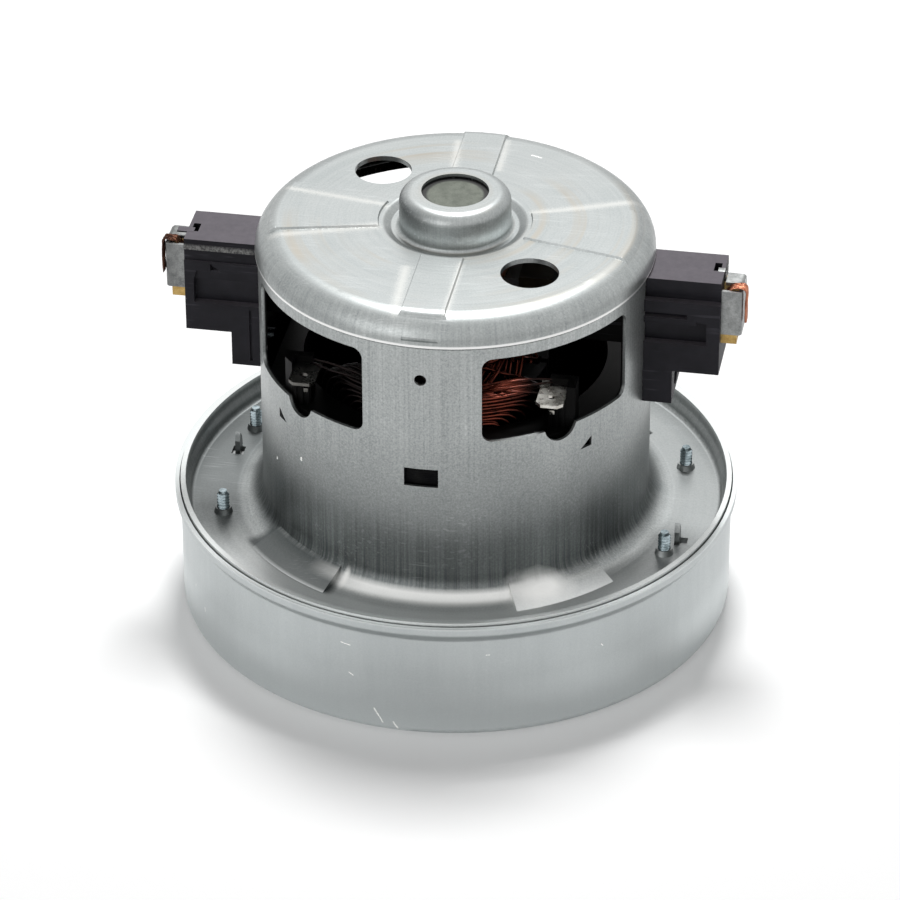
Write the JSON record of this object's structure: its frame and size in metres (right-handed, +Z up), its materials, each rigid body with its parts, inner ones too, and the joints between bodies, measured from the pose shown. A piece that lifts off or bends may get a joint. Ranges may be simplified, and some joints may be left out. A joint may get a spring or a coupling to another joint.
{
  "type": "vacuum cleaner motor unit",
  "caption": "Bypass vacuum cleaner motor in a pressed steel can, with side brush holders, flat terminal tabs and a suction fan in the wide pan below.",
  "frame": {"origin": "on the shaft's axis at the fan cover's underside, where the unit stands", "axes": "+Z up the shaft to the bearing boss, X through the two brush holders, -Y towards the terminal tabs"},
  "size_m": [0.1398, 0.135, 0.1081],
  "materials": {
    "zinc_steel": "zinc-plated, satin with fine drawing marks",
    "bracket_steel": "zinc-plated, satin",
    "screw_steel": "blue zinc plate",
    "clip_steel": "matte zinc plate",
    "disc_grey": "matte",
    "holder_plastic": "moulded thermoset, satin",
    "insulator_plastic": "satin",
    "diffuser_plastic": "satin",
    "hub_plastic": "satin",
    "cage_plastic": "satin",
    "damper_rubber": "matte",
    "tin_brass": "tin-plated, bright",
    "tube_brass": "satin",
    "copper": "enamelled copper, glossy",
    "carbon": "matte",
    "core_steel": "laminated, varnished",
    "bearing_steel": "ground and polished",
    "spring_steel": "satin",
    "shaft_steel": "ground",
    "impeller_aluminium": "satin"
  },
  "bodies": {
    "housing": {"bearing_cover_disc": "disc_grey", "bearing_damper": "damper_rubber", "bearing_retainer": "bracket_steel", "brush_clip_left": "clip_steel", "brush_clip_right": "clip_steel", "brush_holder_left": "holder_plastic", "brush_holder_right": "holder_plastic", "brush_lead_left": "copper", "brush_lead_right": "copper", "brush_spring_left": "spring_steel", "brush_spring_right": "spring_steel", "brush_tube_left": "tube_brass", "brush_tube_right": "tube_brass", "diffuser": "diffuser_plastic", "fan_cover": "zinc_steel", "field_coil_front": "copper", "field_coil_rear": "copper", "flange_screws": "screw_steel", "holder_screws": "screw_steel", "lower_bearing_outer_ring": "bearing_steel", "lower_bearing_shields": "bearing_steel", "lower_bracket": "bracket_steel", "motor_frame": "zinc_steel", "preload_washer": "spring_steel", "stator_core": "core_steel", "stator_insulator_bottom": "insulator_plastic", "stator_insulator_top": "insulator_plastic", "terminal_blade_left": "tin_brass", "terminal_blade_right": "tin_brass", "upper_bearing_outer_ring": "bearing_steel", "upper_bearing_shields": "bearing_steel", "upper_bracket": "zinc_steel"},
    "rotor": {"shaft": "shaft_steel", "armature_core": "core_steel", "armature_winding": "copper", "commutator_hub": "hub_plastic", "commutator_bars": "copper", "upper_bearing_inner_ring": "bearing_steel", "lower_bearing_inner_ring": "bearing_steel", "impeller_front_plate": "impeller_aluminium", "impeller_vanes": "impeller_aluminium", "impeller_back_plate": "impeller_aluminium", "impeller_spacer": "shaft_steel", "impeller_washer": "shaft_steel", "impeller_nut": "shaft_steel"},
    "upper_ball_set": {"upper_bearing_balls": "bearing_steel", "upper_bearing_cage": "cage_plastic"},
    "lower_ball_set": {"lower_bearing_balls": "bearing_steel", "lower_bearing_cage": "cage_plastic"},
    "brush_left": {"carbon_brush_left": "carbon"},
    "brush_right": {"carbon_brush_right": "carbon"}
  },
  "joints": [
    {"name": "rotor_spin", "type": "hinge", "parent": "housing", "child": "rotor", "pos_m": [0, 0, 0.05], "axis": [0, 0, 1], "continuous": true},
    {"name": "upper_balls_spin", "type": "hinge", "parent": "housing", "child": "upper_ball_set", "pos_m": [0, 0, 0.1021], "axis": [0, 0, 1], "continuous": true},
    {"name": "lower_balls_spin", "type": "hinge", "parent": "housing", "child": "lower_ball_set", "pos_m": [0, 0, 0.0209], "axis": [0, 0, 1], "continuous": true},
    {"name": "brush_left_slide", "type": "slide", "parent": "housing", "child": "brush_left", "axis": [-1, 0, 0], "range_m": [0, 0.004], "stiffness_N_per_m": 200, "springref_m": -0.02, "deforming": ["brush_spring_left"]},
    {"name": "brush_right_slide", "type": "slide", "parent": "housing", "child": "brush_right", "axis": [1, 0, 0], "range_m": [0, 0.004], "stiffness_N_per_m": 200, "springref_m": -0.02, "deforming": ["brush_spring_right"]}
  ],
  "couplings": [
    {"joint": "upper_balls_spin", "follows": "rotor_spin", "ratio": 0.3677},
    {"joint": "lower_balls_spin", "follows": "rotor_spin", "ratio": 0.3677}
  ]
}
